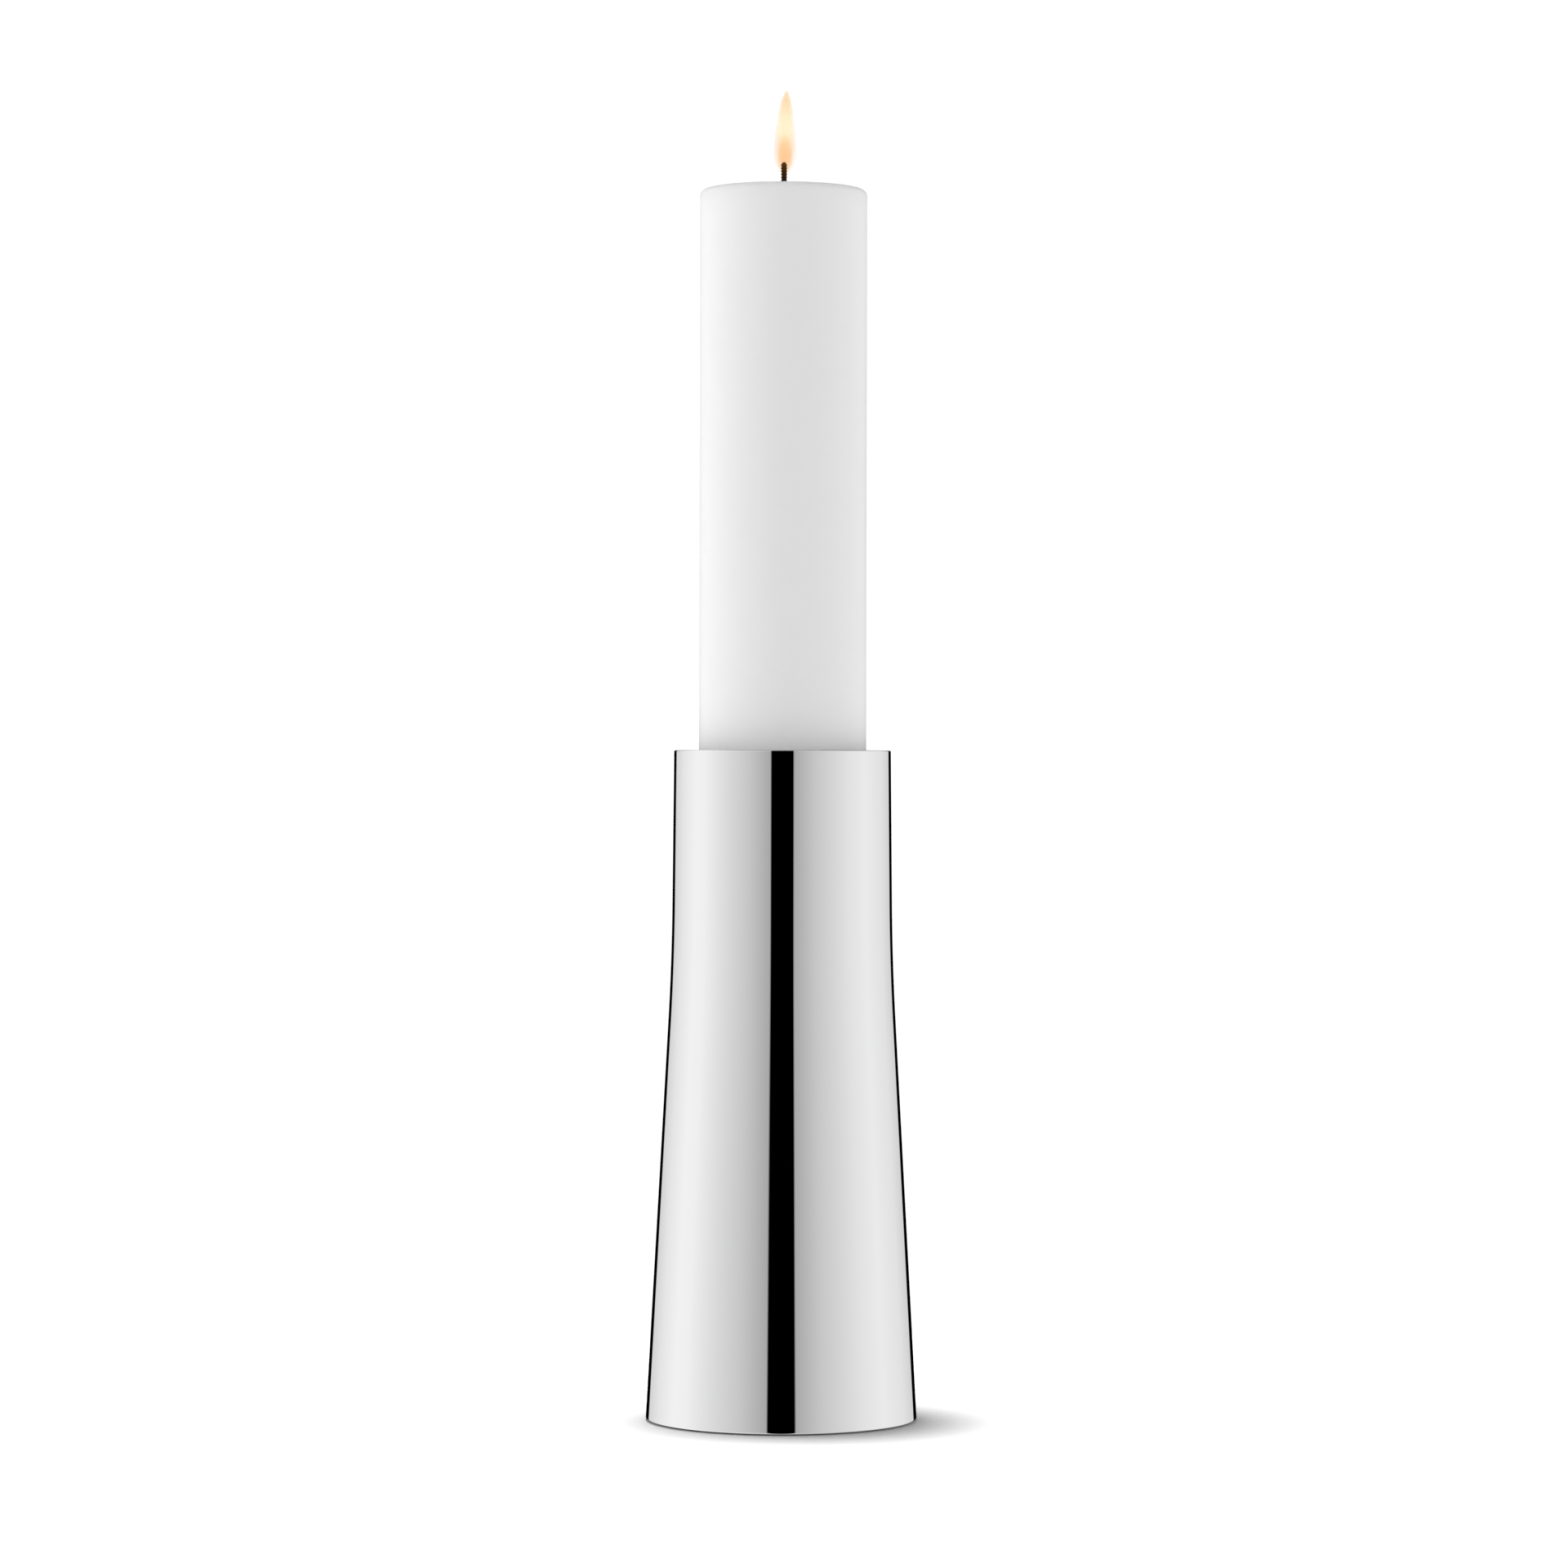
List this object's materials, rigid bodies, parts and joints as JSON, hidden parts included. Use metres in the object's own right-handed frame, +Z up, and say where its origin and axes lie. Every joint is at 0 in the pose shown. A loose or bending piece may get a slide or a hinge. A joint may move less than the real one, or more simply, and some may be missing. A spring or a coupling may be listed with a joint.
{
  "type": "candlestick",
  "caption": "Flared cylindrical candlestick in mirror-polished steel with a weighted foot and a cup that holds a lift-out pillar candle.",
  "frame": {"origin": "centre of the foot, on the plane of the table it stands on", "axes": "+Z up along the candlestick's axis, from the foot to the wick; -Y is the front"},
  "size_m": [0.081, 0.081, 0.3766],
  "materials": {
    "mirror_steel": "mirror-polished stainless steel",
    "satin_steel": "drawn stainless steel, satin",
    "zinc_steel": "zinc-plated steel, satin",
    "cast_iron": "cast iron, as cast",
    "silicone": "clear-grey silicone, matte",
    "black_rubber": "moulded black rubber, matte",
    "wax": "white paraffin wax, smooth and slightly translucent",
    "charred_wick": "braided cotton, charred"
  },
  "bodies": {
    "holder": {"tube": "mirror_steel", "cup_ledge": "satin_steel", "cup_gasket": "silicone", "candle_cup": "satin_steel", "cup_screw": "zinc_steel", "tie_rod": "zinc_steel", "ballast_nut": "zinc_steel", "ballast_washer": "zinc_steel", "ballast": "cast_iron", "base_ledge": "satin_steel", "base_plate": "satin_steel", "base_washer": "zinc_steel", "base_screw": "zinc_steel", "foot_pad": "black_rubber"},
    "candle": {"candle": "wax", "wick": "charred_wick"}
  },
  "joints": [
    {"name": "candle_lift", "type": "slide", "parent": "holder", "child": "candle", "axis": [0, 0, 1], "range_m": [0, 0.036]}
  ]
}
